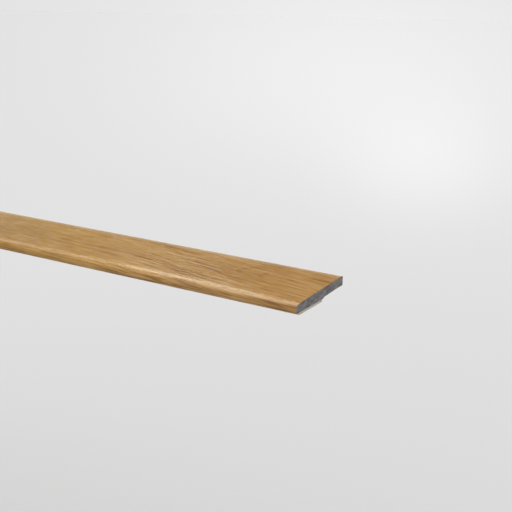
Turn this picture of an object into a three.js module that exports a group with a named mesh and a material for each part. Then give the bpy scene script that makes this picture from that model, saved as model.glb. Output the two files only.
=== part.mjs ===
// Self-adhesive threshold strip: a flat, slightly tapered floor strip for a doorway.
//
// A rigid grey core bar carries a wrapped wood-decor film. A double-sided foam
// tape sits under the front part of the bar and bonds it to the lower floor; the
// thinner rear part is a free lip that laps over the edge of the higher floor
// covering. A release liner covers the tape until the strip is fitted.
//
// Units are millimetres. X runs along the strip, Y runs across it from the
// rounded nose (-Y) to the lip (+Y), Z is up. Z = 0 is the underside of the
// release liner, and the origin is the centre of that underside's length and of
// the strip's width.

import * as THREE from 'three';

// ---------------------------------------------------------------- dimensions

const LENGTH = 900;
const WIDTH = 40;              // measured along the top face, film included

const FILM_T = 0.25;
const NOSE_HEIGHT = 3.7;       // bonding plane to top face at the nose, square to the top face
const TOP_SLOPE = 0.041;       // fall of the top face towards the nose, rise over run
const LIP_T = 4.2;             // thickness of the rear lip
const STEP_TOP = 22.9;         // step between thick part and lip, from the nose, at the lip
const STEP_FOOT = 22.4;        // the same step at the bonding plane
const STEP_EASE = 0.3;         // small chamfer in the step's inner corner

// Rounding of the two upper edges: run across the top face, drop down the side
// face. A crown above 2 starts the rounding more gently than an ellipse.
const NOSE = { run: 6.0, drop: 0.85, crown: 2.7, segments: 16 };
const BACK = { run: 2.5, drop: 0.6, crown: 3.0, segments: 8 };

const HEM_R = 0.35;            // radius of the two lower film corners
const HEM_SEGMENTS = 4;
const HEM = 1.2;               // end of the film under each lower edge, from the side face

const TAPE_START = 2.7;        // tape's front edge, behind the nose
const TAPE_W = 19;
const ADHESIVE_T = 0.08;       // each adhesive coat
const FOAM_T = 0.72;
const LINER_T = 0.12;
const PULL_TAB = 40;           // length of the liner's pull tab, at the +X end

// ------------------------------------------------------------- derived places

const X_START = -LENGTH / 2;
const X_END = LENGTH / 2;
const TAB_X = X_END - PULL_TAB;

// Undersides of the layers above the liner, then of the core bar.
const LOWER_COAT_Z = LINER_T;
const FOAM_Z = LOWER_COAT_Z + ADHESIVE_T;
const UPPER_COAT_Z = FOAM_Z + FOAM_T;
const BOND_Z = UPPER_COAT_Z + ADHESIVE_T;

const TILT = Math.atan(TOP_SLOPE);
const COS_TILT = Math.cos(TILT);
const SIN_TILT = Math.sin(TILT);

// The sharp nose corner, placed to centre the sharp-cornered section on Y = 0.
const NOSE_Y = -(WIDTH * COS_TILT + LIP_T * SIN_TILT) / 2;
const NOSE_Z = BOND_Z + NOSE_HEIGHT * COS_TILT;

// ---------------------------------------------------------------- section axes

// Section points are [across, normal]: across runs along the top face from the
// nose, normal is square to the top face and 0 on it. Tilting them by TILT makes
// the bonding plane level and gives [y, z].
function tilt([across, normal]) {
  return [
    NOSE_Y + across * COS_TILT - normal * SIN_TILT,
    NOSE_Z + across * SIN_TILT + normal * COS_TILT,
  ];
}

// The point of the bonding plane at a given distance across.
const onBond = (across) => [across, -(NOSE_HEIGHT + across * TOP_SLOPE)];

// ------------------------------------------------------------ section outlines

// Fillet where the line before-corner turns clockwise into corner-after.
function fillet(before, corner, after, radius) {
  const apex = new THREE.Vector2(...corner);
  const toBefore = new THREE.Vector2(...before).sub(apex).normalize();
  const toAfter = new THREE.Vector2(...after).sub(apex).normalize();
  const halfAngle = Math.acos(toBefore.dot(toAfter)) / 2;
  const tangentLength = radius / Math.tan(halfAngle);
  const centre = toBefore.clone().add(toAfter)
    .setLength(radius / Math.sin(halfAngle))
    .add(apex);

  const angleAtTangent = (direction) => (
    apex.clone().addScaledVector(direction, tangentLength).sub(centre).angle()
  );
  const start = angleAtTangent(toBefore);
  let turn = angleAtTangent(toAfter) - start;
  if (turn > 0) turn -= 2 * Math.PI;

  const points = [];
  for (let i = 0; i <= HEM_SEGMENTS; i += 1) {
    const angle = start + (turn * i) / HEM_SEGMENTS;
    points.push([
      centre.x + radius * Math.cos(angle),
      centre.y + radius * Math.sin(angle),
    ]);
  }
  return points;
}

// Crowned quarter round at a depth inside the visible surface, from the side
// face up to the top face. Outward is -1 at the nose and 1 at the rear edge.
function upperEdge({ run, drop, crown, segments }, outward, depth) {
  const topEnd = outward < 0 ? run : WIDTH - run;
  const points = [];
  for (let i = 0; i <= segments; i += 1) {
    const angle = (Math.PI / 2) * (i / segments);
    points.push([
      topEnd + outward * (run - depth) * Math.cos(angle) ** (2 / crown),
      -drop + (drop - depth) * Math.sin(angle),
    ]);
  }
  return points;
}

// The wrapped contour at a depth inside the visible surface, from the front
// hem, up the front face, over the nose, along the top, down the rear edge and
// under the lip to the rear hem.
function contour(depth) {
  const [hemAcross, hemNormal] = onBond(HEM);
  const frontHem = [hemAcross + depth * SIN_TILT, hemNormal + depth * COS_TILT];
  const frontCorner = [depth, onBond(depth)[1] + depth / COS_TILT];
  const rearCorner = [WIDTH - depth, -LIP_T + depth];
  const rearHem = [WIDTH - HEM, -LIP_T + depth];
  const nose = upperEdge(NOSE, -1, depth);
  const back = upperEdge(BACK, 1, depth).reverse();
  return [
    frontHem,
    ...fillet(frontHem, frontCorner, nose[0], HEM_R - depth),
    ...nose,
    ...back,
    ...fillet(back.at(-1), rearCorner, rearHem, HEM_R - depth),
    rearHem,
  ];
}

// --------------------------------------------------------------------- solids

// Extrudes a closed [y, z] outline along X, with the mesh's origin at xStart.
function bar(name, outline, look, xStart = X_START, xEnd = X_END) {
  const shape = new THREE.Shape(outline.map(([y, z]) => new THREE.Vector2(y, z)));
  const geometry = new THREE.ExtrudeGeometry(shape, {
    depth: xEnd - xStart,
    bevelEnabled: false,
    steps: 1,
  });
  // Shape x becomes Y, shape y becomes Z and the extrusion runs along X.
  geometry.applyMatrix4(
    new THREE.Matrix4().set(
      0, 0, 1, 0,
      1, 0, 0, 0,
      0, 1, 0, 0,
      0, 0, 0, 1,
    ),
  );
  const mesh = new THREE.Mesh(geometry, new THREE.MeshStandardMaterial(look));
  mesh.name = name;
  mesh.position.x = xStart;
  return mesh;
}

// A flat layer of the tape's width.
function tapeLayer(name, bottom, thickness, look, xStart, xEnd) {
  const front = NOSE_Y + TAPE_START;
  const rear = front + TAPE_W;
  const top = bottom + thickness;
  const outline = [[front, bottom], [rear, bottom], [rear, top], [front, top]];
  return bar(name, outline, look, xStart, xEnd);
}

const LOOKS = {
  core: { color: 0x6a6866, roughness: 0.7, metalness: 0 },
  film: { color: 0xab8556, roughness: 0.45, metalness: 0 },
  adhesive: { color: 0xb9aa93, roughness: 0.3, metalness: 0 },
  foam: { color: 0xb4a898, roughness: 0.9, metalness: 0 },
  liner: { color: 0xe6e2da, roughness: 0.5, metalness: 0 },
};

// The core: under the film, then along the lip's underside, down the step and
// along the bonding plane. The film's hems lie flush in shallow seats.
function coreBar() {
  const outline = [
    ...contour(FILM_T),
    [WIDTH - HEM, -LIP_T],
    [STEP_TOP + STEP_EASE, -LIP_T],
    [STEP_TOP, -LIP_T - STEP_EASE],
    onBond(STEP_FOOT),
    onBond(HEM),
  ];
  return bar('core_bar', outline.map(tilt), LOOKS.core);
}

// The film: its outside, then back along its inside.
function decorFilm() {
  const outline = [...contour(0), ...contour(FILM_T).reverse()];
  return bar('decor_film', outline.map(tilt), LOOKS.film);
}

// ------------------------------------------------------------------- assembly

const strip = new THREE.Group();
strip.add(
  coreBar(),
  decorFilm(),
  tapeLayer('upper_adhesive', UPPER_COAT_Z, ADHESIVE_T, LOOKS.adhesive),
  tapeLayer('foam_tape', FOAM_Z, FOAM_T, LOOKS.foam),
  tapeLayer('lower_adhesive', LOWER_COAT_Z, ADHESIVE_T, LOOKS.adhesive),
);

// The liner is one length of paper, shown flat. The pull tab's origin lies on
// the line where it folds down and back, across the liner's underside.
const peelingLiner = new THREE.Group();
peelingLiner.add(
  tapeLayer('release_liner', 0, LINER_T, LOOKS.liner, X_START, TAB_X),
  tapeLayer('liner_pull_tab', 0, LINER_T, LOOKS.liner, TAB_X, X_END),
);

const thresholdStrip = new THREE.Group();
thresholdStrip.add(strip, peelingLiner);

export default thresholdStrip;
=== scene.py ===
"""An oak-look profile strip with an adhesive back and a release liner.

The strip runs along X with its rounded nose to the front (-Y) and its lip to the rear (+Y).
Its top face rises gently towards the rear. Foam tape, adhesive and liner lie under the front
part, and the liner ends in a pull tab at the +X end.
"""
import math

import bpy
import bmesh
import numpy as np
from mathutils import Matrix, Vector


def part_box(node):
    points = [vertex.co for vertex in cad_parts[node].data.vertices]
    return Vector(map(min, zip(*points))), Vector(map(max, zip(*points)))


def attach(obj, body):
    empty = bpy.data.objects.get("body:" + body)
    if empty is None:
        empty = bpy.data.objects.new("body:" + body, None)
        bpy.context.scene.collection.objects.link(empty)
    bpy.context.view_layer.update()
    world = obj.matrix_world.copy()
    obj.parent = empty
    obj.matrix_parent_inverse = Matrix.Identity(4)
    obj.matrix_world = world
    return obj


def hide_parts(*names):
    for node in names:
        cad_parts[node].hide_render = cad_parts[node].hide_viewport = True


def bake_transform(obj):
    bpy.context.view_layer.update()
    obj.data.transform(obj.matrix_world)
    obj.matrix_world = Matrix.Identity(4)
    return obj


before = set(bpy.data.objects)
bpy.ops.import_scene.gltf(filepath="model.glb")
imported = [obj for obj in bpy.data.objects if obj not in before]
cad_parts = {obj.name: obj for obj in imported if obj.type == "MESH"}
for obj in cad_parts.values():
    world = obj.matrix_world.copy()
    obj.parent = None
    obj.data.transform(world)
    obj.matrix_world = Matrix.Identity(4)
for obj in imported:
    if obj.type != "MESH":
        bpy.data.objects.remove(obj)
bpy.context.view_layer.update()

MM = 0.001

# --------------------------------------------------------------------------
# Driving sizes of the section, in mm. A section point is (y, n): y runs rearwards
# along the sloping top face from the sharp nose corner, n stands up from that face.
# --------------------------------------------------------------------------
WIDTH = 40.0
FILM_T = 0.25
NOSE_HEIGHT = 3.7
TOP_SLOPE = 0.041
LIP_T = 4.2
STEP_TOP = 22.9      # y of the step's riser at the lip
STEP_FOOT = 22.4     # y of the riser at the bonding face
STEP_EASE = 0.3      # chamfer where lip and riser meet
NOSE_RUN = 6.0
NOSE_DROP = 0.85
NOSE_CROWN = 2.7     # power of the rounding: 2 is an ellipse, more is squarer
BACK_RUN = 2.5
BACK_DROP = 0.6
BACK_CROWN = 3.0
HEM_R = 0.35
HEM = 1.2            # how far the film turns in underneath

film_lo, film_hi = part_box("decor_film")
core_lo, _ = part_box("core_bar")
foam_lo, foam_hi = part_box("foam_tape")
liner_lo, liner_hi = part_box("release_liner")
tab_lo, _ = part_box("liner_pull_tab")

LEAN = math.atan(TOP_SLOPE)
COS_LEAN, SIN_LEAN = math.cos(LEAN), math.sin(LEAN)
BOND_Z = core_lo.z / MM                               # underside of the core
TOP_Z = BOND_Z + NOSE_HEIGHT * COS_LEAN
NOSE_Y = -(WIDTH * COS_LEAN + LIP_T * SIN_LEAN) / 2
X0, X1 = film_lo.x, film_hi.x


def ring_at(x, points):
    """Section points in mm, placed at x as (x, y, z) in metres."""
    return [
        (x,
         (NOSE_Y + y * COS_LEAN - n * SIN_LEAN) * MM,
         (TOP_Z + y * SIN_LEAN + n * COS_LEAN) * MM)
        for y, n in points
    ]


def bond_n(y):
    """Height of the bonding face in the section."""
    return -(NOSE_HEIGHT + y * TOP_SLOPE)


def fillet(before, corner, after, radius, segments):
    """Arc that rounds a corner between two neighbouring points."""
    before, corner, after = (np.array(p, float) for p in (before, corner, after))
    back = (before - corner) / np.linalg.norm(before - corner)
    ahead = (after - corner) / np.linalg.norm(after - corner)
    half = math.acos(max(-1, min(1, float(back @ ahead)))) / 2
    middle = (back + ahead) / np.linalg.norm(back + ahead)
    centre = corner + middle * (radius / math.sin(half))
    first = corner + back * (radius / math.tan(half)) - centre
    last = corner + ahead * (radius / math.tan(half)) - centre
    start = math.atan2(first[1], first[0])
    turn = math.atan2(last[1], last[0]) - start
    if turn > math.pi:
        turn -= 2 * math.pi
    if turn < -math.pi:
        turn += 2 * math.pi
    return [
        (centre[0] + radius * math.cos(start + turn * i / segments),
         centre[1] + radius * math.sin(start + turn * i / segments))
        for i in range(segments + 1)
    ]


def straight(a, b, count):
    """Evenly spaced points strictly between a and b."""
    return [
        (a[0] + (b[0] - a[0]) * i / (count + 1), a[1] + (b[1] - a[1]) * i / (count + 1))
        for i in range(1, count + 1)
    ]


def crown(centre_y, centre_n, reach_y, reach_n, power, steps):
    """Quarter of a superellipse, from its side to its top."""
    points = []
    for i in range(steps + 1):
        angle = (math.pi / 2) * i / steps
        points.append((
            centre_y + reach_y * abs(math.cos(angle)) ** (2 / power),
            centre_n + reach_n * math.sin(angle),
        ))
    return points


def contour(depth, nose_steps=40, back_steps=16, arc_steps=8, fill=True):
    """The film's contour at a depth, front hem to rear hem. The number of points is the
    same for every depth. With fill, the flats are divided too."""
    on_hem, on_side, on_top = (2, 8, 40) if fill else (0, 0, 0)
    hem_front = (HEM + depth * SIN_LEAN, bond_n(HEM) + depth * COS_LEAN)
    low_front = (depth, bond_n(depth) + depth / COS_LEAN)
    top_rear = (WIDTH - depth, -BACK_DROP)
    low_rear = (WIDTH - depth, -LIP_T + depth)
    hem_rear = (WIDTH - HEM, -LIP_T + depth)

    front = fillet(hem_front, low_front, (depth, -NOSE_DROP), HEM_R - depth, arc_steps)
    nose = crown(NOSE_RUN, -NOSE_DROP, -(NOSE_RUN - depth), NOSE_DROP - depth,
                 NOSE_CROWN, nose_steps)
    back = crown(WIDTH - BACK_RUN, -BACK_DROP, BACK_RUN - depth, BACK_DROP - depth,
                 BACK_CROWN, back_steps)[::-1]
    rear = fillet(top_rear, low_rear, hem_rear, HEM_R - depth, arc_steps)

    points = [hem_front] + straight(hem_front, front[0], on_hem) + front
    points += straight(front[-1], nose[0], on_side) + nose
    points += straight(nose[-1], back[0], on_top) + back
    points += straight(back[-1], rear[0], on_side) + rear
    points += straight(rear[-1], hem_rear, on_hem) + [hem_rear]
    return points


def distances(points):
    """Distance travelled along a line, at each of its points."""
    runs = [0.0]
    for a, b in zip(points, points[1:]):
        runs.append(runs[-1] + math.dist(a, b))
    return runs


SKIN = contour(0.0)
SKIN_RUNS = distances(SKIN)
# distance round the wrap from the front hem to the upper rear edge
WRAP_REAR = next(run for run, (y, _) in zip(SKIN_RUNS, SKIN) if y > WIDTH - 0.1)


# --------------------------------------------------------------------------
# Node helpers
# --------------------------------------------------------------------------
class Output:
    """A node's output. Arithmetic on it adds Math nodes."""

    def __init__(self, nodes, socket):
        self.nodes = nodes
        self.socket = socket

    def __add__(self, other):
        return self.nodes.math("ADD", self, other)

    def __radd__(self, other):
        return self.nodes.math("ADD", other, self)

    def __sub__(self, other):
        return self.nodes.math("SUBTRACT", self, other)

    def __rsub__(self, other):
        return self.nodes.math("SUBTRACT", other, self)

    def __mul__(self, other):
        return self.nodes.math("MULTIPLY", self, other)

    def __truediv__(self, other):
        return self.nodes.math("DIVIDE", self, other)

    def __rtruediv__(self, other):
        return self.nodes.math("DIVIDE", other, self)

    def at(self, strength):
        return self * strength

    def swing(self, by):
        """A noise moved to swing about zero, and scaled."""
        return (self - 0.5) * by

    def linear(self, span, to=(0.0, 1.0)):
        return self.nodes.remap(self, "LINEAR", span, to)

    def ease(self, span, to=(0.0, 1.0)):
        return self.nodes.remap(self, "SMOOTHSTEP", span, to)

    def band(self, rise, fall):
        """One between two spans, easing to zero over them."""
        return self.ease(rise) * self.ease(fall, to=(1.0, 0.0))


class Nodes:
    """A thin layer over a node tree, which it empties first."""

    def __init__(self, tree):
        self.tree = tree
        tree.nodes.clear()

    def add(self, kind, **props):
        node = self.tree.nodes.new("ShaderNode" + kind)
        for key, value in props.items():
            setattr(node, key, value)
        return node

    def out(self, node, key=0):
        return Output(self, node.outputs[key])

    def put(self, socket, value):
        if isinstance(value, Output):
            self.tree.links.new(value.socket, socket)
        else:
            socket.default_value = value

    def math(self, operation, *operands):
        node = self.add("Math", operation=operation)
        for socket, operand in zip(node.inputs, operands):
            self.put(socket, operand)
        return self.out(node)

    def remap(self, value, interpolation, span, to):
        node = self.add("MapRange", clamp=True, interpolation_type=interpolation)
        self.put(node.inputs["Value"], value)
        for key, limit in zip(("From Min", "From Max", "To Min", "To Max"), (*span, *to)):
            node.inputs[key].default_value = limit
        return self.out(node, "Result")

    def vec(self, *parts):
        node = self.add("CombineXYZ")
        for socket, part in zip(node.inputs, parts):
            self.put(socket, part)
        return self.out(node)

    def split(self, vector):
        node = self.add("SeparateXYZ")
        self.put(node.inputs[0], vector)
        return [self.out(node, i) for i in range(3)]

    def noise(self, vector, scale, detail, rough):
        node = self.add("TexNoise")
        self.put(node.inputs["Vector"], vector)
        node.inputs["Scale"].default_value = scale
        node.inputs["Detail"].default_value = detail
        node.inputs["Roughness"].default_value = rough
        return self.out(node, "Fac")

    def voronoi(self, vector, scale):
        """Distance to the nearest cell point."""
        node = self.add("TexVoronoi")
        self.put(node.inputs["Vector"], vector)
        node.inputs["Scale"].default_value = scale
        return self.out(node, "Distance")

    def ramp(self, value, positions, colours):
        node = self.add("ValToRGB")
        stops = node.color_ramp.elements
        while len(stops) > 1:
            stops.remove(stops[-1])
        stops[0].position = positions[0]
        stops[0].color = (*colours[0], 1)
        for position, colour in zip(positions[1:], colours[1:]):
            stops.new(position).color = (*colour, 1)
        self.put(node.inputs[0], value)
        return self.out(node)

    def mix(self, factor, a, b):
        """Blend of two colours."""
        node = self.add("Mix", data_type="RGBA")
        self.put(node.inputs[0], factor)
        for socket, colour in ((node.inputs[6], a), (node.inputs[7], b)):
            self.put(socket, (*colour, 1) if isinstance(colour, tuple) else colour)
        return self.out(node)if False else self.out(node, 2)

    def mix_value(self, factor, a, b):
        node = self.add("Mix", data_type="FLOAT")
        self.put(node.inputs[0], factor)
        self.put(node.inputs[2], a)
        self.put(node.inputs[3], b)
        return self.out(node)

    def mix_shader(self, factor, a, b):
        node = self.add("MixShader")
        for socket, value in zip(node.inputs, (factor, a, b)):
            self.put(socket, value)
        return self.out(node)

    def scale(self, vector, factor):
        """A vector or colour times a number."""
        node = self.add("VectorMath", operation="SCALE")
        self.put(node.inputs[0], vector)
        self.put(node.inputs["Scale"], factor)
        return self.out(node)

    def bump(self, height, strength, distance):
        node = self.add("Bump")
        node.inputs["Strength"].default_value = strength
        node.inputs["Distance"].default_value = distance
        self.put(node.inputs["Height"], height)
        return self.out(node)


class Material(Nodes):
    """A material with a Principled shader on its output."""

    def __init__(self, name):
        self.data = bpy.data.materials.new(name)
        self.data.use_nodes = True
        super().__init__(self.data.node_tree)
        self.surface = self.add("OutputMaterial").inputs["Surface"]
        self.bsdf = self.add("BsdfPrincipled")
        self.put(self.surface, self.out(self.bsdf))

    def set(self, key, value):
        self.put(self.bsdf.inputs[key], value)

    def object_mm(self):
        """Object coordinates in mm."""
        return self.scale(self.out(self.add("TexCoord"), "Object"), 1000.0)

    def uv_mm(self, layer):
        """The two parts of a UV layer, in mm."""
        x, y, _ = self.split(self.out(self.add("UVMap", uv_map=layer)))
        return x * 1000.0, y * 1000.0

    def cut(self):
        """The face attribute that is 1 on cut faces."""
        return self.out(self.add("Attribute", attribute_name="cut"), "Fac")


def linear_rgb(code):
    """sRGB hex code to linear rgb."""
    parts = [int(code[i:i + 2], 16) / 255 for i in (1, 3, 5)]
    return tuple(x / 12.92 if x <= 0.04045 else ((x + 0.055) / 1.055) ** 2.4 for x in parts)


# --------------------------------------------------------------------------
# Colours, linear rgb, each list from dark to light
# --------------------------------------------------------------------------
OAK = [
    (0.193, 0.081, 0.011), (0.305, 0.142, 0.025), (0.416, 0.217, 0.049),
    (0.500, 0.282, 0.083), (0.580, 0.355, 0.130),
]
OAK_STOPS = (0.00, 0.28, 0.50, 0.72, 1.00)
OAK_PORE = (0.120, 0.050, 0.010)
# painted highlight colour for the rear edge
OAK_RIM_HIGHLIGHT = (0.600, 0.430, 0.240)
# painted highlight colour for glints on the nose
OAK_GLINT = (0.740, 0.490, 0.205)
OAK_CUT = linear_rgb("#7d6142")
CORE_WARM = (0.190, 0.162, 0.139)
CORE_COOL = (0.146, 0.158, 0.180)
FOAM = [(0.490, 0.430, 0.370), (0.550, 0.495, 0.430), (0.600, 0.545, 0.480)]
FOAM_CELL = (0.38, 0.325, 0.265)
ADHESIVE = [(0.560, 0.490, 0.395), (0.615, 0.550, 0.455), (0.660, 0.605, 0.515)]
PAPER = [(0.84, 0.825, 0.795), (0.88, 0.87, 0.845), (0.91, 0.905, 0.885)]
PAPER_EDGE = (0.660, 0.590, 0.500)
THREE_STOPS = (0.3, 0.5, 0.7)    # for the lists of three

FALL = (1.0, 0.0)                # for remaps that run from one down to zero


# --------------------------------------------------------------------------
# Materials. Lengths in them are mm.
# --------------------------------------------------------------------------
class OakFilm(Material):
    """Printed, lightly embossed oak foil. UV layer "wrap" holds metres along the strip
    and metres round the wrapped section, so the grain runs over the nose."""

    FIBRE_LEAN = 0.062           # drift of the fibres across the strip, per mm along
    RING_SPACING = 3.4
    RING_CENTRE = 27.0 + FIBRE_LEAN * 400.0
    ROUGHNESS = 0.13
    RELIEF = 0.000022            # depth of the embossing, metres

    def __init__(self):
        super().__init__("oak_decor_film")
        self.along, self.around = self.uv_mm("wrap")
        self.bend_fibres()
        self.grow_rings()
        self.spread_marks()
        # the print is bolder in some stretches than in others
        self.bold = 0.85 + (self.swell(centre=385.0, length=230.0, amount=0.21)
                            + self.swell(centre=391.0, length=77.0, amount=0.16))
        fibres = self.fibre_tone()
        colour = self.print_colour(fibres)
        colour = self.paint_edge_light_and_shade(colour)
        cut = self.cut()
        self.set("Base Color", self.mix(cut, colour, OAK_CUT))
        rough = self.ROUGHNESS + self.medium.swing(by=0.12) + self.pore.at(strength=0.18)
        self.set("Roughness", rough + cut.at(strength=0.25))
        self.set("Specular IOR Level", 0.45)
        self.set("Normal", self.bump(self.emboss(), strength=1.0, distance=self.RELIEF))

    def streaks(self, rows, length, width, layer, detail=1.0, rough=0.4):
        """Noise drawn out to a length along the strip and a width across its rows."""
        place = self.vec(self.along * (1 / length), rows * (1 / width), layer)
        return self.noise(place, scale=1.0, detail=detail, rough=rough)

    def swell(self, centre, length, amount):
        """A wave along the strip, highest at its centre."""
        turns = (self.along - centre) * (2 * math.pi / length)
        return self.math("COSINE", turns) * amount

    def bend_fibres(self):
        """The fibres lean across the strip, more towards one end of each print repeat,
        with a slow waver on top."""
        turn = self.math("SINE", (self.along - 430.0) * (2 * math.pi / 420))
        flow = self.along * self.FIBRE_LEAN + turn.at(strength=5.6)
        sway = self.streaks(self.around, length=80, width=40, layer=3.1, detail=2.0, rough=0.45)
        sway = sway.swing(by=5.0)
        self.leaned = self.around + flow + sway
        self.local = self.streaks(self.leaned, length=26, width=9, layer=8.3, rough=0.5)
        self.rows = self.leaned + self.local.swing(by=1.6)

    def grow_rings(self):
        """Growth rings, cut nearly flat so that they open into long arches."""
        depth = self.vec(self.along * (1 / 130), 0.0, 5.7)
        depth = self.noise(depth, scale=1.0, detail=1.0, rough=0.4)
        depth = (depth - 0.28) * 75.0     # of the cut below the heart
        off = self.rows - self.RING_CENTRE
        ring = self.math("SQRT", off * off + depth * depth)
        ring = ring + self.local.at(strength=1.2)
        phase = self.math("FRACT", ring * (1 / self.RING_SPACING))
        late = phase.ease(span=(0.55, 0.96))
        self.early = phase.ease(span=(0.0, 0.16), to=FALL)
        self.rings = late - self.early.at(strength=0.4)

    def spread_marks(self):
        """Broad colour drift, fibre streaks at three widths, pores, dark streaks, flecks."""
        leaned, rows = self.leaned, self.rows
        self.drift = self.streaks(leaned, length=60, width=12, layer=1.7, detail=2.0, rough=0.5)
        self.mottle = self.streaks(leaned, length=14, width=6, layer=21.4, detail=2.0, rough=0.5)
        self.wide = self.streaks(rows, length=30, width=1.7, layer=4.4, detail=3.0, rough=0.6)
        self.medium = self.streaks(rows, length=10, width=0.9, layer=9.2, detail=2.0, rough=0.6)
        self.fine = self.streaks(rows, length=3.5, width=0.35, layer=2.6, detail=2.0, rough=0.6)
        pore = self.streaks(rows, length=4.0, width=0.26, layer=6.6).ease(span=(0.60, 0.72))
        # pores are strongest in the early wood
        self.pore = pore * (0.35 + self.early.at(strength=0.65))
        cluster = self.streaks(leaned, length=48, width=15, layer=31.7)
        cluster = cluster.ease(span=(0.38, 0.60), to=(0.25, 1.0))
        streak = self.streaks(rows, length=24, width=1.5, layer=12.9)
        self.streak = streak.ease(span=(0.59, 0.72)) * cluster
        fleck = self.streaks(rows, length=3.2, width=0.8, layer=15.3, rough=0.5)
        self.fleck = fleck.ease(span=(0.66, 0.78))

    def fibre_tone(self):
        fibres = self.wide.swing(by=1.10) + self.medium.swing(by=0.80) + self.fine.swing(by=0.45)
        fibres = fibres - self.rings.at(strength=0.09)
        fibres = fibres - self.streak.at(strength=0.30)
        # thin dark lines on the front face, stronger towards +X
        line = self.streaks(self.around, length=16, width=0.50, layer=61.2)
        line = (line.ease(span=(0.52, 0.66), to=(-0.35, 1.0))
                * self.around.ease(span=(3.4, 6.2), to=FALL))
        fibres = fibres - line * self.along.linear(span=(370.0, 440.0), to=(0.26, 0.42))
        return fibres + self.fleck.at(strength=0.10)

    def print_colour(self, fibres):
        along, around = self.along, self.around
        tone = 0.592 + self.drift.swing(by=0.42)     # from the mean tone
        # a darker band behind the nose and a lighter one behind that
        near = around.band(rise=(8.0, 13.0), fall=(18.5, 24.5))
        mid = around.band(rise=(20.0, 26.0), fall=(29.0, 34.0))
        tone = tone + (mid.at(strength=0.030) - near.at(strength=0.045))
        # slow changes along the strip
        tone = tone + self.swell(centre=335.0, length=230.0, amount=0.050)
        tone = tone - along.linear(span=(295.0, 350.0), to=(0.035, 0.0))
        tone = tone + (along.linear(span=(350.0, 385.0), to=(0.0, -0.045))
                       + along.linear(span=(405.0, 440.0), to=(0.0, 0.095)))
        # painted shade: the front face's print is darkened, more in some stretches along the
        # strip
        face = 0.09 + self.swell(centre=300.0, length=230.0, amount=0.08)
        tone = tone - face * around.ease(span=(3.6, 5.2), to=FALL)
        tone = tone + self.mottle.swing(by=0.44)
        tone = tone + fibres * self.bold
        colour = self.ramp(tone, OAK_STOPS, OAK)
        colour = self.mix((self.pore * self.bold).at(strength=0.50), colour, OAK_PORE)
        # the print turns slightly more golden and back along each repeat
        blue_gain = 0.97 - self.swell(centre=290.0, length=300.0, amount=0.20)
        red, green, blue = self.split(colour)
        return self.vec(red, green, blue * blue_gain)

    def paint_edge_light_and_shade(self, colour):
        """Painted light and shade: a painted highlight along the rear edge, painted glints in
        short broken streaks along the nose, and painted shade on the lower front face."""
        around = self.around
        # painted highlight: the last few mm before the rear edge are lightened, fading onto the
        # rear face
        painted_rim_highlight = around.linear(span=(WRAP_REAR - 4.8, WRAP_REAR - 0.3))
        painted_rim_highlight = painted_rim_highlight * around.linear(span=(WRAP_REAR + 0.2, WRAP_REAR + 1.4), to=(1.0, 0.12))
        painted_rim_highlight = painted_rim_highlight * self.mottle.linear(span=(0.3, 0.7), to=(0.76, 1.0))
        # painted highlight: bright broken streaks along the rounded nose stand in for glints on
        # the relief
        painted_nose_glints = around.band(rise=(4.6, 6.4), fall=(7.4, 10.0))
        glint_flecks = self.streaks(around, length=3.6, width=0.8, layer=52.6, detail=2.0, rough=0.6)
        glint_flecks = glint_flecks.ease(span=(0.50, 0.62))
        painted_nose_glints = painted_nose_glints * glint_flecks * (0.41 + self.swell(centre=390.0, length=230.0, amount=0.24))
        colour = self.mix(painted_rim_highlight, colour, OAK_RIM_HIGHLIGHT)
        colour = self.mix(painted_nose_glints, colour, OAK_GLINT)
        # painted shade: the front face is darkened towards its lower edge
        painted_low_shade = around.ease(span=(1.2, 3.6), to=(0.20, 0.0))
        return self.scale(colour, 1.0 - painted_low_shade)

    def emboss(self):
        """Height of the relief."""
        plate = self.streaks(self.rows, length=6.0, width=1.3, layer=40.3, rough=0.5)
        relief = self.medium.at(strength=0.35) + self.fine.at(strength=0.12)
        relief = relief + (self.wide.at(strength=0.7) + plate)
        return relief - self.pore.at(strength=0.9) - self.streak.at(strength=0.8)


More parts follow.
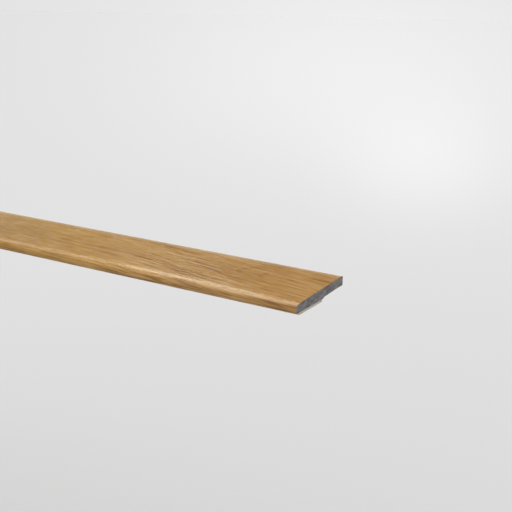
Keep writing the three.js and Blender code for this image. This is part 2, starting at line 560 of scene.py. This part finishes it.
def grey_core():
    """Grey filled plastic: fine mineral speckle, faint saw lines on the cut ends,
    slightly shinier along its length."""
    m = Material("grey_core")
    geometry = m.add("NewGeometry")
    x, y, z = m.split(m.object_mm())
    normal_x, _, _ = m.split(m.out(geometry, "True Normal"))
    end = m.math("ABSOLUTE", normal_x).linear(span=(0.5, 0.9))

    # the filler lies in flat flakes, drawn out across the bar
    stretch = 0.42
    flakes = m.vec(x, y * stretch, z)
    cloud = m.noise(flakes, scale=0.75, detail=2.0, rough=0.6)
    grain = m.noise(flakes, scale=2.0, detail=3.0, rough=0.75)
    light = m.voronoi(flakes, scale=1.25).ease(span=(0.0, 0.34), to=FALL)
    # moved along X, so that dark specks miss the light ones
    dark = m.voronoi(m.vec(x + 41.3, y * stretch, z), scale=1.1)
    dark = dark.ease(span=(0.0, 0.30), to=FALL)
    drawn = m.noise(m.vec(x * (1 / 40), y, z), scale=1.8, detail=2.0, rough=0.6)
    # saw lines slant by 0.35 and lie 1.6 to the mm
    saw = m.vec(0.0, (y + z * 0.35) * 1.6, 0.0)
    saw = m.noise(saw, scale=1.0, detail=3.0, rough=0.7)

    shade = 1.0 + cloud.swing(by=2.3) + grain.swing(by=0.75)
    shade = shade + light.at(strength=0.22) - dark.at(strength=0.24)
    shade = shade + (end * (saw - 0.5)).at(strength=0.16)
    shade = shade + ((1.0 - end) * (drawn - 0.5)).at(strength=0.25)
    tint = m.noise(m.vec(x + 9.0, y * 0.5, z), scale=0.8, detail=2.0, rough=0.6)
    tint = m.mix(tint.linear(span=(0.41, 0.59)), CORE_WARM, CORE_COOL)
    m.set("Base Color", m.scale(tint, shade))
    m.set("Roughness", 0.55 + end.at(strength=0.2))
    m.set("Specular IOR Level", 0.35)
    height = grain.at(strength=0.6) + (saw * end).at(strength=0.3) - dark.at(strength=0.5)
    m.set("Normal", m.bump(height, strength=0.45, distance=0.00008))
    return m.data


def cream_foam():
    """Cream closed-cell foam: small cells and slight mottling."""
    m = Material("cream_foam")
    place = m.object_mm()
    wall = m.voronoi(place, scale=4.5).ease(span=(0.05, 0.55))
    tone = m.noise(place, scale=0.7, detail=3.0, rough=0.6)
    colour = m.ramp(tone, THREE_STOPS, FOAM)
    colour = m.mix((1.0 - wall).at(strength=0.35), colour, FOAM_CELL)
    m.set("Base Color", colour)
    m.set("Roughness", 0.85)
    m.set("Specular IOR Level", 0.25)
    m.set("Normal", m.bump(wall, strength=0.6, distance=0.00006))
    return m.data


def acrylic_adhesive():
    """Tacky acrylic coat: honey-tinted, glossy, with faint coating lines."""
    m = Material("acrylic_adhesive")
    place = m.object_mm()
    x, y, z = m.split(place)
    lines = m.noise(m.vec(x * (1 / 60), y, z), scale=1.6, detail=3.0, rough=0.6)
    blot = m.noise(place, scale=0.35, detail=3.0, rough=0.6)
    tone = lines.at(strength=0.5) + blot.at(strength=0.5)
    m.set("Base Color", m.ramp(tone, THREE_STOPS, ADHESIVE))
    m.set("Roughness", 0.16 + blot.at(strength=0.2))
    m.set("Coat Weight", 0.3)
    m.set("Normal", m.bump(lines + blot, strength=0.35, distance=0.00008))
    return m.data


def release_paper():
    """Siliconed release paper: off-white, faint fibre mottle, a slight sheen and a
    little light through it."""
    m = Material("release_paper")
    along, across = m.uv_mm("sheet")
    mottle = m.noise(m.vec(along, across, 0.0), scale=0.55, detail=4.0, rough=0.6)
    # fibres lie mostly along the strip
    fibre = m.vec(along * 0.7, across * 2.4, 4.0)
    fibre = m.noise(fibre, scale=1.3, detail=3.0, rough=0.65)
    tone = mottle.at(strength=0.6) + fibre.at(strength=0.4)
    colour = m.ramp(tone, THREE_STOPS, PAPER)
    # the cut edge of the sheet shows the unbleached base paper
    colour = m.mix(m.cut(), colour, PAPER_EDGE)
    m.set("Base Color", colour)
    m.set("Roughness", 0.38 + fibre.at(strength=0.2))
    m.set("Specular IOR Level", 0.45)
    m.set("Normal", m.bump(tone, strength=0.3, distance=0.00005))
    through = m.add("BsdfTranslucent")
    m.put(through.inputs["Color"], colour)
    m.put(m.surface, m.mix_shader(0.12, m.out(m.bsdf), m.out(through)))
    return m.data


# --------------------------------------------------------------------------
# Mesh helpers
# --------------------------------------------------------------------------
def triangulate_ends(mesh):
    bm = bmesh.new()
    bm.from_mesh(mesh)
    bmesh.ops.triangulate(bm, faces=[f for f in bm.faces if len(f.verts) > 4])
    bm.to_mesh(mesh)
    bm.free()


def face_outward(mesh):
    bm = bmesh.new()
    bm.from_mesh(mesh)
    bmesh.ops.recalc_face_normals(bm, faces=bm.faces)
    if bm.calc_volume(signed=True) < 0:
        bmesh.ops.reverse_faces(bm, faces=bm.faces)
    bm.to_mesh(mesh)
    bm.free()


def body(name, rings, sharp, thin=True):
    """Closed body through rings of points, with edges over `sharp` degrees kept sharp.
    A thin body's ends are strips of quads between its two sides; others are triangulated."""
    size = len(rings[0])
    last = (len(rings) - 1) * size
    faces = []
    for start in range(0, last, size):
        for i in range(size):
            j = (i + 1) % size
            faces.append((start + i, start + j, start + size + j, start + size + i))
    if thin:
        for i in range(size // 2 - 1):
            far = size - 1 - i
            faces.append((i, far, far - 1, i + 1))
            faces.append((last + i, last + i + 1, last + far - 1, last + far))
    else:
        faces.append(tuple(range(size))[::-1])
        faces.append(tuple(last + i for i in range(size)))
    mesh = bpy.data.meshes.new(name)
    mesh.from_pydata([point for ring in rings for point in ring], [], faces)
    mesh.validate()
    mesh.update()
    ob = bpy.data.objects.new(name, mesh)
    bpy.context.scene.collection.objects.link(ob)
    if not thin:
        triangulate_ends(mesh)
    face_outward(mesh)
    mesh.shade_smooth()
    mesh.set_sharp_from_angle(angle=math.radians(sharp))
    return ob


def add_uv(mesh, name, places):
    """UV layer from one place for each vertex."""
    layer = mesh.uv_layers.new(name=name)
    for loop in mesh.loops:
        layer.data[loop.index].uv = places[loop.vertex_index]


def mark_cut(mesh, is_cut):
    """Face attribute "cut", 1 where is_cut(vertex indices) holds."""
    cut = mesh.attributes.new("cut", "FLOAT", "FACE")
    for face in mesh.polygons:
        cut.data[face.index].value = 1.0 if is_cut(face.vertices) else 0.0


def flat_ring(x, y0, y1, z0, z1, steps):
    """Ring of a flat sheet: the upper side to the rear, then the lower side to the front."""
    upper = [(x, y0 + (y1 - y0) * i / steps, z1) for i in range(steps + 1)]
    lower = [(x, y1 + (y0 - y1) * i / steps, z0) for i in range(steps + 1)]
    return upper + lower


def wave(x, seed, pitch):
    """A smooth repeatable wobble of x (array), about -1 to 1."""
    draws = np.random.default_rng(seed)
    total = np.zeros_like(x)
    for k in range(6):
        frequency = (1 + k * 0.83) / pitch
        total += np.sin(2 * math.pi * (frequency * x + draws.random())) * (0.62 ** k)
    return total / 2.0


# --------------------------------------------------------------------------
# Decor film: a closed thin shell, finely divided round the nose
# --------------------------------------------------------------------------
def build_film():
    end_band = 0.00025
    inner = contour(FILM_T)
    xs = sorted(set(
        [X0, X1, X0 + end_band, X1 - end_band]
        + [X0 + (X1 - X0) * i / 180 for i in range(1, 180)]
    ))
    ob = body("film", [ring_at(x, SKIN + inner[::-1]) for x in xs], sharp=30)
    around = SKIN_RUNS + SKIN_RUNS[::-1]
    add_uv(ob.data, "wrap", [(x, run * MM) for x in xs for run in around])
    size = len(around)

    def is_cut(ids):
        """The ends, the hem edges and the inner side."""
        at_end = len({v // size for v in ids}) == 1
        return at_end or any(v % size >= len(SKIN) for v in ids)

    mark_cut(ob.data, is_cut)
    ob.data.materials.append(OakFilm().data)
    return ob


# --------------------------------------------------------------------------
# Core bar: under the film, with lip, step and bonding face. The exposed lower
# edges of its ends are slightly broken.
# --------------------------------------------------------------------------
def build_core():
    end_break = 0.10     # mm
    seat = contour(FILM_T, nose_steps=28, back_steps=12, arc_steps=5, fill=False)
    lip_rear = (WIDTH - HEM, -LIP_T)
    lip_front = (STEP_TOP + 1.0, -LIP_T)
    lip_end = (STEP_TOP + STEP_EASE, -LIP_T)
    riser = (STEP_TOP, -LIP_T - STEP_EASE)
    foot = (STEP_FOOT, bond_n(STEP_FOOT))
    bond_front = (HEM, bond_n(HEM))
    lower = [lip_rear] + straight(lip_rear, lip_front, 10)
    lower += fillet(lip_front, lip_end, riser, radius=0.20, segments=4)
    lower += fillet(lip_end, riser, foot, radius=0.12, segments=3)
    lower += fillet(riser, foot, bond_front, radius=0.08, segments=4)
    lower += straight(lower[-1], bond_front, 10) + [bond_front]
    outline = seat + lower
    # at the ends, the lower run is drawn up between its first and last points
    raised = [(y, n + end_break) for y, n in lower[1:-1]]
    end_outline = seat + [lower[0]] + raised + [lower[-1]]
    stations = [(X0, end_outline), (X0 + end_break * MM, outline)]
    stations += [(X0 + (X1 - X0) * i / 60, outline) for i in range(1, 60)]
    stations += [(X1 - end_break * MM, outline), (X1, end_outline)]
    ob = body("core", [ring_at(x, points) for x, points in stations], sharp=30, thin=False)
    ob.data.materials.append(grey_core())
    return ob


# --------------------------------------------------------------------------
# Foam tape: soft edges that bulge a little and wander a few hundredths
# --------------------------------------------------------------------------
def build_foam():
    y0, y1, z0, z1 = foam_lo.y, foam_hi.y, foam_lo.z, foam_hi.z
    height = z1 - z0
    middle = (z0 + z1) / 2
    inset, bulge, end_pinch = 0.00007, 0.00009, 0.00006
    side_points, across = 9, 14
    xs = np.concatenate([
        [X0, X0 + 0.0001, X0 + 0.0003],
        np.linspace(X0 + 0.0015, X1 - 0.0015, 560),
        [X1 - 0.0003, X1 - 0.0001, X1],
    ])

    def wander(seed, slow, fast):
        """A slow and a fast wobble, with their pitches in mm."""
        return (wave(xs * 1000, seed, pitch=slow) * 0.06 * MM
                + wave(xs * 1000, seed + 1, pitch=fast) * 0.025 * MM)

    front = wander(seed=11, slow=34.0, fast=5.0)
    rear = wander(seed=13, slow=41.0, fast=4.4)
    side = [math.pi * i / (side_points - 1) for i in range(side_points)]
    rings = []
    for k, x in enumerate(xs):
        pinch = end_pinch if min(x - X0, X1 - x) < 1e-6 else 0.0
        ring = [                                        # rear edge, bottom to top
            (y1 + rear[k] - inset + bulge * math.sin(a), z0 + height * (1 - math.cos(a)) / 2)
            for a in side
        ]
        ring += [(y1 + (y0 - y1) * i / across, z1) for i in range(1, across)]
        ring += [                                       # front edge, top to bottom
            (y0 + front[k] + inset - bulge * math.sin(a), z1 - height * (1 - math.cos(a)) / 2)
            for a in side
        ]
        ring += [(y0 + (y1 - y0) * i / across, z0) for i in range(1, across)]
        rings.append([
            (x, y, z - math.copysign(min(pinch, abs(z - middle)), z - middle))
            for y, z in ring
        ])
    ob = body("foam_tape_body", rings, sharp=50, thin=False)
    ob.data.materials.append(cream_foam())
    return ob


# --------------------------------------------------------------------------
# Adhesive coats: thin films whose edges wander a little inside the tape's edge
# --------------------------------------------------------------------------
def build_coat(name, cad_piece, seed, material):
    lo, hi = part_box(cad_piece)
    xs = np.linspace(X0, X1, 451)

    def wander(seed, pitch):
        return np.maximum(wave(xs * 1000, seed, pitch) * 0.05 * MM + 0.00006, 0.0)

    front = wander(seed, pitch=27.0)
    rear = wander(seed + 1, pitch=23.0)
    rings = [
        flat_ring(x, lo.y + front[k], hi.y - rear[k], lo.z, hi.z, steps=10)
        for k, x in enumerate(xs)
    ]
    ob = body(name, rings, sharp=30)
    ob.data.materials.append(material)
    return ob


# --------------------------------------------------------------------------
# Release liner: one continuous flat sheet, finely divided where it would fold at the pull tab
# --------------------------------------------------------------------------
FOLD = tab_lo.x
CURL = 0.010             # length that bends
DENSE_MARGIN = 0.004     # finely divided length beyond each end of the bend
UNDERSIDE_UV = 0.05      # shift of the lower side in the UV layer


def build_liner():
    steps = 16
    dense_start, dense_end = FOLD - DENSE_MARGIN, FOLD + CURL + DENSE_MARGIN
    xs = np.concatenate([
        np.linspace(X0, dense_start, 216)[:-1],
        np.linspace(dense_start, dense_end, 73)[:-1],
        np.linspace(dense_end, X1, 26),
    ])
    rings = [
        flat_ring(x, liner_lo.y, liner_hi.y, liner_lo.z, liner_hi.z, steps) for x in xs
    ]
    size = len(rings[0])
    ob = body("liner_sheet", rings, sharp=40)
    add_uv(ob.data, "sheet", [
        (x, y + (UNDERSIDE_UV if i > steps else 0.0))
        for ring in rings for i, (x, y, _) in enumerate(ring)
    ])
    # a cut face joins the upper side to the lower
    mark_cut(ob.data, lambda ids: len({v % size <= steps for v in ids}) == 2)
    ob.data.materials.append(release_paper())
    return ob


def on_strip(ob, cad_piece):
    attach(ob, "strip")
    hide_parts(cad_piece)


on_strip(build_film(), "decor_film")
on_strip(build_core(), "core_bar")
on_strip(build_foam(), "foam_tape")
sticky = acrylic_adhesive()
for side, seed in (("upper", 21), ("lower", 31)):
    cad_piece = side + "_adhesive"
    on_strip(build_coat("adhesive_coat_" + side, cad_piece, seed, sticky), cad_piece)

liner = build_liner()
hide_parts("release_liner", "liner_pull_tab")
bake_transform(liner)

# --------------------------------------------------------------------------
# Camera: a 60 mm lens about 0.3 m from the +X end, looking down across the strip.
# Its angles and offset are taken against the top face, so it leans with that face.
# --------------------------------------------------------------------------
AZIMUTH, DOWN = math.radians(31.39), math.radians(17.91)
CAMERA_OFFSET = Vector((0.1423284, -0.2622966, 0.115785))   # from the nose corner
scene = bpy.context.scene


def build_camera():
    look = Vector((
        -math.sin(AZIMUTH) * math.cos(DOWN),
        math.cos(AZIMUTH) * math.cos(DOWN),
        -math.sin(DOWN),
    ))
    right = Vector((math.cos(AZIMUTH), math.sin(AZIMUTH), 0.0))
    up = right.cross(look)
    lean = Matrix.Rotation(LEAN, 3, "X")
    corner = Vector((X1, NOSE_Y * MM, TOP_Z * MM))
    place = corner + lean @ CAMERA_OFFSET
    turn = lean @ Matrix((right, up, -look)).transposed()

    data = bpy.data.cameras.new("camera")
    ob = bpy.data.objects.new("camera", data)
    scene.collection.objects.link(ob)
    data.sensor_fit = "HORIZONTAL"
    data.sensor_width = 36.0
    data.lens = 59.765625
    data.clip_start = 0.01
    data.clip_end = 400.0
    ob.matrix_world = Matrix.Translation(place) @ turn.to_4x4()
    scene.camera = ob
    return place


camera_place = build_camera()

# --------------------------------------------------------------------------
# Studio: a pale floor well below the strip, soft keys from above and behind,
# and a sky that is brighter overhead
# --------------------------------------------------------------------------
FLOOR_Z = -0.25
FLOOR_COLOUR = (0.6925, 0.6925 * 1.002, 0.6925 * 1.011)
SKY_LOW, SKY_HIGH = 0.11, 0.96   # behind the strip, below and above the rise
SKY_FRONT, SKY_TOP = 0.90, 1.98
SEEN = 0.755                     # what the camera sees past the floor's edge

# lighter patches of the surroundings, seen from the camera: bearing from +Y towards +X
# in radians, dip as a slope, their two spreads, and the added brightness
PATCHES = [
    (-0.3460881, 0.1637423, 0.09882353, 0.06823529, 0.10),
    (-0.4279066, 0.0637620, 0.27058824, 0.13176471, 0.15),
]


def backdrop(nodes, x, y, dip):
    """Brightness of the surroundings by direction (x, y from the camera) and by dip
    below the horizon: two lighter patches and a slight fall-off at steep dips."""
    bearing = nodes.math("ARCTAN2", x, y)
    brightness = 1.015
    for patch_bearing, patch_dip, width, height, amount in PATCHES:
        across = (bearing - patch_bearing) / width
        down = (dip - patch_dip) / height
        reach = across * across + down * down
        brightness = brightness + nodes.math("EXPONENT", reach * -1.0) * amount
    return brightness - dip.linear(span=(0.27, 0.66), to=(0.0, 0.08))


def level_distance(nodes, x, y):
    return nodes.math("SQRT", x * x + y * y)


def build_floor():
    bm = bmesh.new()
    bmesh.ops.create_circle(bm, cap_ends=True, radius=150.0, segments=128)
    mesh = bpy.data.meshes.new("studio_floor")
    bm.to_mesh(mesh)
    bm.free()
    ob = bpy.data.objects.new("studio_floor", mesh)
    scene.collection.objects.link(ob)
    ob.location = (camera_place.x, camera_place.y, FLOOR_Z)
    m = Material("studio_floor")
    x, y, _ = m.split(m.out(m.add("TexCoord"), "Object"))
    dip = (camera_place.z - FLOOR_Z) / level_distance(m, x, y)
    # painted light: the floor's colour carries two lighter patches and a darkening at steep
    # dips, painted pools of light and fall-off
    m.set("Base Color", m.scale(FLOOR_COLOUR, backdrop(m, x, y, dip)))
    m.set("Roughness", 1.0)
    m.set("Specular IOR Level", 0.0)
    mesh.materials.append(m.data)


def build_world():
    """The camera sees the backdrop; everything else is lit by the sky."""
    world = bpy.data.worlds.new("studio")
    scene.world = world
    world.use_nodes = True
    sky = Nodes(world.node_tree)
    output = sky.add("OutputWorld")
    seen = sky.add("Background")
    lit = sky.add("Background")
    x, y, z = sky.split(sky.out(sky.add("TexCoord"), "Generated"))
    flat = level_distance(sky, x, y)
    seen.inputs["Color"].default_value = (1, 1, 1, 1)
    sky.put(seen.inputs["Strength"], backdrop(sky, x, y, z * -1.0 / flat) * SEEN)

    def sines(low, high):
        """Span of z between two elevations in degrees."""
        return math.sin(math.radians(low)), math.sin(math.radians(high))

    behind = z.ease(span=sines(32, 55), to=(SKY_LOW, SKY_HIGH))
    front = y.ease(span=(-0.45, 0.25), to=FALL)
    # a glow near the horizon, strongest behind the strip
    glow = z.ease(span=sines(6, 18.8), to=(1.42, 0.0))
    glow = glow * y.ease(span=(0.05, 0.50), to=(0.30, 1.0))
    around = sky.mix_value(front, behind + glow, SKY_FRONT)
    overhead = z.ease(span=(0.55, 0.88))
    sky.put(lit.inputs["Strength"], sky.mix_value(overhead, around, SKY_TOP))
    camera_ray = sky.out(sky.add("LightPath"), "Is Camera Ray")
    sky.put(output.inputs["Surface"],
            sky.mix_shader(camera_ray, sky.out(lit), sky.out(seen)))


# name, elevation, azimuth from +Y towards +X, spread (all degrees), strength, colour
SUNS = [
    ("key", 43.0, -31.8, 23.0, 0.228, (1.0, 0.95, 0.80)),
    ("low_key", 27.4, -38.2, 10.0, 0.050, (1.0, 0.93, 0.80)),
    ("edge_key", 23.7, -42.0, 7.0, 0.0060, (1.0, 0.93, 0.78)),
    ("far_key", 24.8, -51.5, 12.0, 0.036, (1.0, 0.93, 0.82)),
]


def build_sun(name, elevation, azimuth, spread, strength, colour):
    data = bpy.data.lights.new(name, "SUN")
    data.angle = math.radians(spread)
    data.energy = strength
    data.color = colour
    ob = bpy.data.objects.new(name, data)
    scene.collection.objects.link(ob)
    rise, bearing = math.radians(elevation), math.radians(azimuth)
    towards = Vector((
        math.sin(bearing) * math.cos(rise),
        math.cos(bearing) * math.cos(rise),
        math.sin(rise),
    ))
    ob.rotation_mode = "QUATERNION"
    ob.rotation_quaternion = (-towards).to_track_quat("-Z", "Y")
    ob.location = towards * 3


build_floor()
scene.view_settings.view_transform = "Standard"
scene.view_settings.look = "None"
scene.view_settings.exposure = 0.0
scene.view_settings.gamma = 1.0
build_world()
for sun in SUNS:
    build_sun(*sun)
